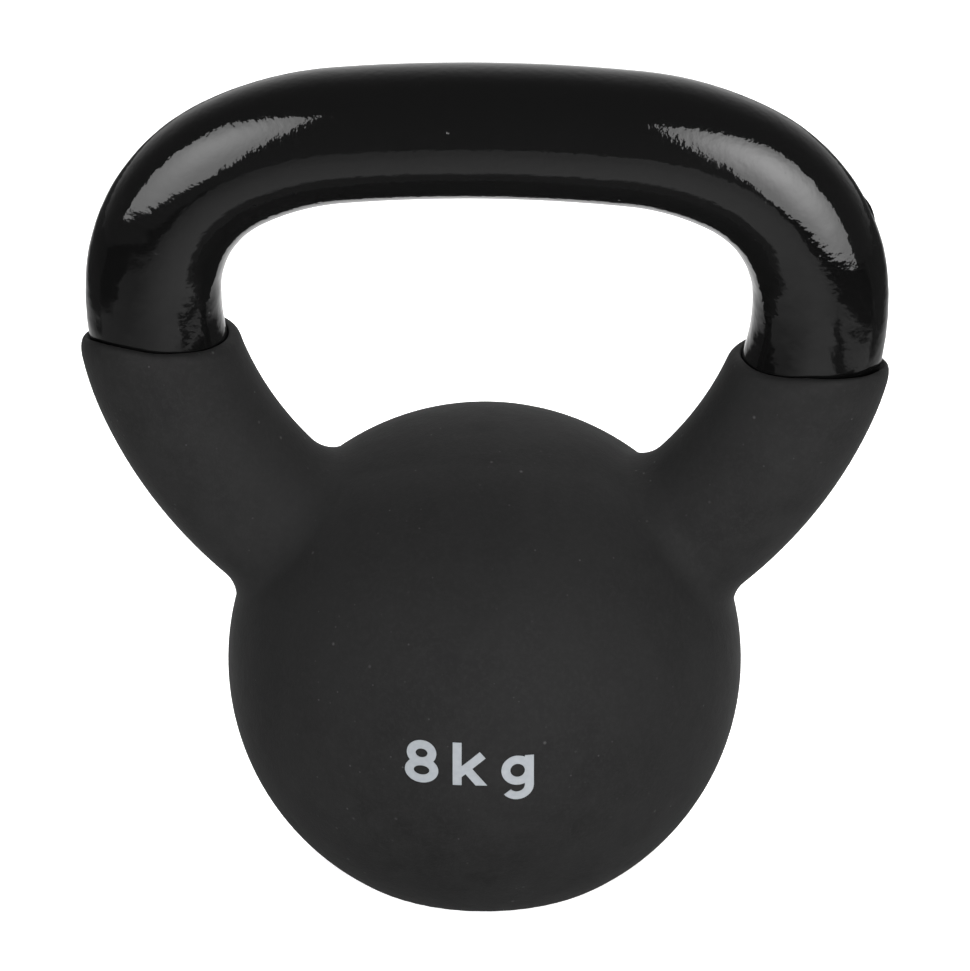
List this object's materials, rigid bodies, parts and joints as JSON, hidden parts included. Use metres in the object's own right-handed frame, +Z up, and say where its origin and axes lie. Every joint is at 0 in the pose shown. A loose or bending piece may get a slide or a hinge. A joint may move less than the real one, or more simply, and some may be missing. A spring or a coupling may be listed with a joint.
{
  "type": "kettlebell",
  "caption": "Ball-shaped hand weight with a flat sole, two horns and a rounded bar grip, rubber coated over the ball and lower horns.",
  "frame": {"origin": "middle of the flat sole, on the surface that it stands on", "axes": "+Z up, X along the grip, the printed front faces -Y"},
  "size_m": [0.1919, 0.1219, 0.2044],
  "materials": {
    "iron": "matte",
    "enamel": "gloss",
    "neoprene": "matte",
    "ink": "satin"
  },
  "bodies": {
    "root": {"iron_core": "iron", "handle_enamel": "enamel", "neoprene_coat": "neoprene", "print_8": "ink", "print_k": "ink", "print_g": "ink"}
  },
  "joints": []
}
